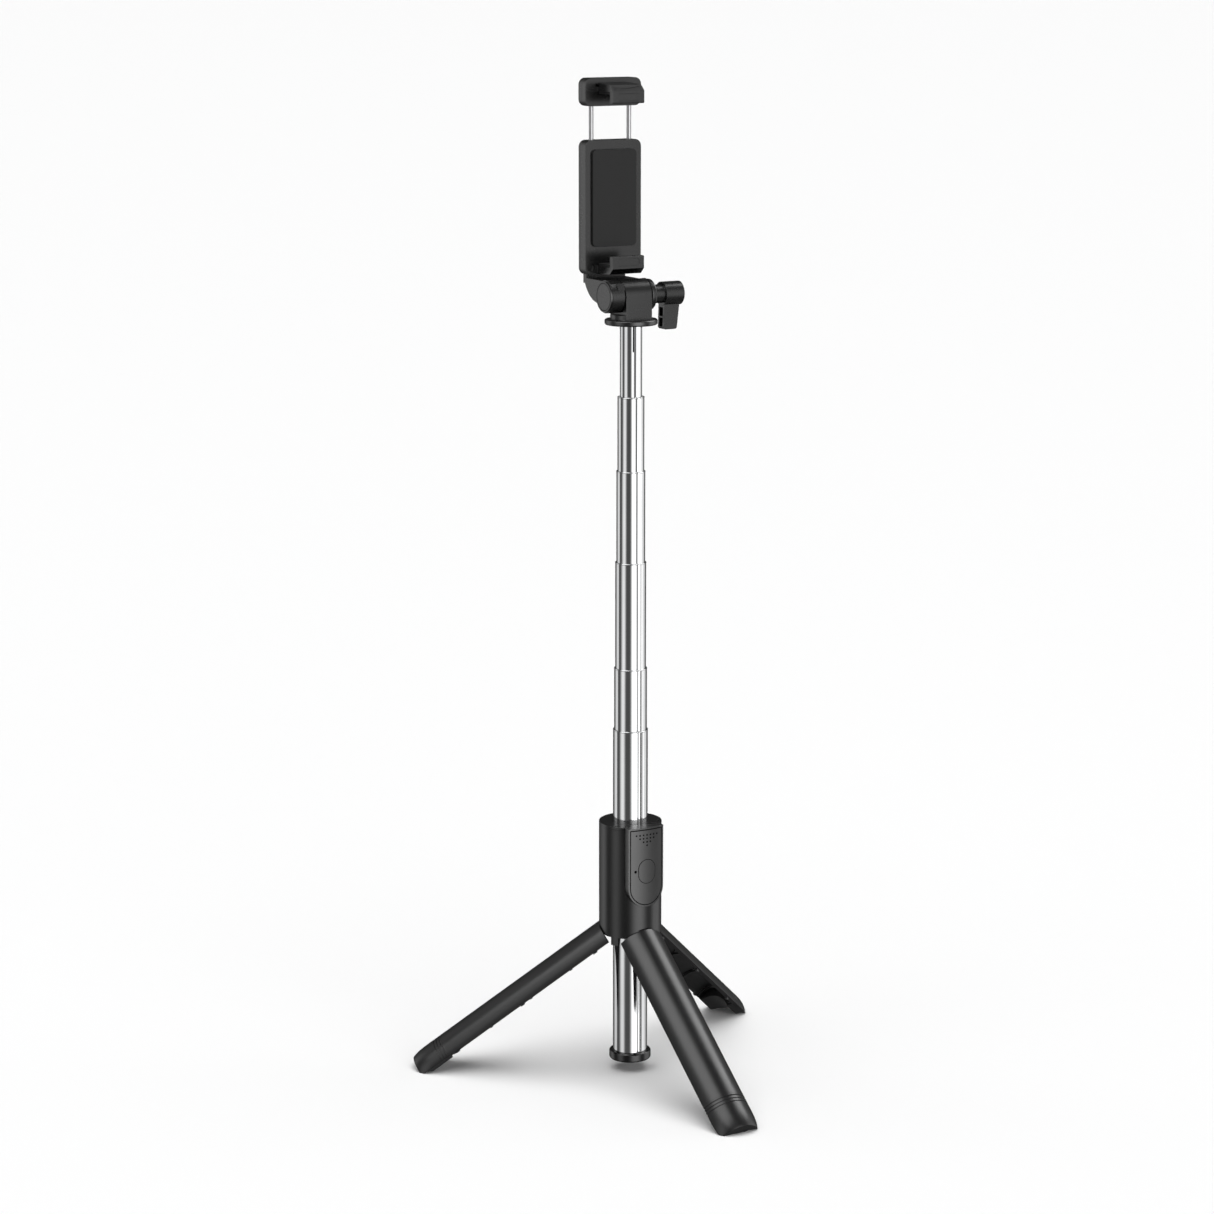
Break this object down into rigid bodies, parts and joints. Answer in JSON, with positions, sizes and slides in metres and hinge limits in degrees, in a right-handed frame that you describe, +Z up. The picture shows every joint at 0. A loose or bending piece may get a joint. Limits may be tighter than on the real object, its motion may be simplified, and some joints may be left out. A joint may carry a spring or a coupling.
{
  "type": "selfie stick",
  "caption": "Telescopic selfie stick on three folding legs, with a spring phone clamp on a tilting head and a detachable shutter remote in its housing.",
  "frame": {"origin": "centre of the pole end cap's underside, on the pole axis", "axes": "+Z up along the pole, -Y to the front, where the phone screen and the remote face, +X to the side of the lock lever"},
  "size_m": [0.167, 0.1457, 0.435],
  "materials": {
    "pole_steel": "polished tube with a fine lengthwise grain",
    "white_nylon": "plain moulded nylon",
    "black_plastic": "satin moulded",
    "housing_black": "satin moulded, fine grain",
    "bush_black": "smooth acetal",
    "soft_rubber": "matt silicone",
    "foot_rubber": "matt rubber",
    "plain_steel": "zinc plated",
    "leg_black": "satin moulded, fine grain",
    "remote_black": "matt, soft touch",
    "circuit_board": "solder mask",
    "led_lens": "clear tinted",
    "head_black": "satin moulded, fine grain",
    "clamp_black": "satin moulded, fine grain"
  },
  "bodies": {
    "housing": {"housing": "housing_black", "housing_top_cap": "housing_black", "upper_bush": "bush_black", "lower_bush": "bush_black", "friction_ring": "soft_rubber", "leg_hinge_pins": "plain_steel"},
    "pole": {"tube_6": "pole_steel", "pole_end_cap": "black_plastic"},
    "section_5": {"tube_5": "pole_steel", "guide_plug_5": "white_nylon"},
    "section_4": {"tube_4": "pole_steel", "guide_plug_4": "white_nylon"},
    "section_3": {"tube_3": "pole_steel", "guide_plug_3": "white_nylon"},
    "section_2": {"tube_2": "pole_steel", "guide_plug_2": "white_nylon", "tube_1_bush": "white_nylon"},
    "section_1": {"tube_1": "pole_steel", "guide_plug_1": "white_nylon", "head_base": "head_black"},
    "leg_front": {"leg_front": "leg_black", "foot_front": "foot_rubber"},
    "leg_right": {"leg_right": "leg_black", "foot_right": "foot_rubber"},
    "leg_left": {"leg_left": "leg_black", "foot_left": "foot_rubber"},
    "remote": {"remote_face": "remote_black", "remote_back": "black_plastic", "remote_board": "circuit_board", "dome_switch": "plain_steel", "coin_cell": "plain_steel", "battery_contact": "plain_steel", "remote_led": "led_lens"},
    "shutter_button": {"shutter_button": "remote_black"},
    "tilt_arm": {"clamp_arm": "head_black", "pivot_cap": "head_black", "tilt_bolt": "plain_steel", "tilt_washer": "head_black", "pivot_washer": "plain_steel"},
    "lock_lever": {"lock_lever": "head_black", "lever_nut": "plain_steel"},
    "clamp": {"clamp_frame": "clamp_black", "clamp_back_cover": "clamp_black", "clamp_screws": "plain_steel", "pivot_screw": "plain_steel", "lower_jaw_pad": "soft_rubber", "back_pad": "soft_rubber", "clamp_springs": "plain_steel"},
    "upper_jaw": {"upper_jaw": "clamp_black", "upper_jaw_cover": "clamp_black", "upper_jaw_pad": "soft_rubber", "guide_rods": "plain_steel", "rod_clips": "plain_steel"}
  },
  "joints": [
    {"name": "pole_slide", "type": "slide", "parent": "housing", "child": "pole", "axis": [0, 0, 1], "range_m": [-0.0478, 0.04]},
    {"name": "section_5_slide", "type": "slide", "parent": "pole", "child": "section_5", "axis": [0, 0, 1], "range_m": [-0.0257, 0.092]},
    {"name": "section_4_slide", "type": "slide", "parent": "section_5", "child": "section_4", "axis": [0, 0, 1], "range_m": [-0.0451, 0.068]},
    {"name": "section_3_slide", "type": "slide", "parent": "section_4", "child": "section_3", "axis": [0, 0, 1], "range_m": [-0.0382, 0.07]},
    {"name": "section_2_slide", "type": "slide", "parent": "section_3", "child": "section_2", "axis": [0, 0, 1], "range_m": [-0.0304, 0.073]},
    {"name": "section_1_slide", "type": "slide", "parent": "section_2", "child": "section_1", "axis": [0, 0, 1], "range_m": [-0.0306, 0.066]},
    {"name": "leg_front_fold", "type": "hinge", "parent": "housing", "child": "leg_front", "pos_m": [0, -0.0101, 0.0608], "axis": [1, 0, 0], "range_deg": [0, 53]},
    {"name": "leg_right_fold", "type": "hinge", "parent": "housing", "child": "leg_right", "pos_m": [0.00875, 0.00505, 0.0608], "axis": [-0.5, 0.866, 0], "range_deg": [0, 53]},
    {"name": "leg_left_fold", "type": "hinge", "parent": "housing", "child": "leg_left", "pos_m": [-0.00875, 0.00505, 0.0608], "axis": [-0.5, -0.866, 0], "range_deg": [0, 53]},
    {"name": "remote_slide", "type": "slide", "parent": "housing", "child": "remote", "axis": [0, 0, 1], "range_m": [0, 0.036]},
    {"name": "shutter_press", "type": "slide", "parent": "remote", "child": "shutter_button", "axis": [0, 1, 0], "range_m": [0, 0.0003], "stiffness_N_per_m": 900},
    {"name": "head_tilt", "type": "hinge", "parent": "section_1", "child": "tilt_arm", "pos_m": [0, 0, 0.3393], "axis": [1, 0, 0], "range_deg": [-20, 105]},
    {"name": "lock_lever_turn", "type": "hinge", "parent": "tilt_arm", "child": "lock_lever", "pos_m": [0, 0, 0.3393], "axis": [1, 0, 0], "continuous": true},
    {"name": "clamp_turn", "type": "hinge", "parent": "tilt_arm", "child": "clamp", "pos_m": [0, 0, 0.387], "axis": [0, 1, 0], "range_deg": [-90, 90]},
    {"name": "jaw_slide", "type": "slide", "parent": "clamp", "child": "upper_jaw", "axis": [0, 0, 1], "range_m": [-0.0107, 0.02], "stiffness_N_per_m": 200, "deforming": ["clamp_springs"]}
  ]
}
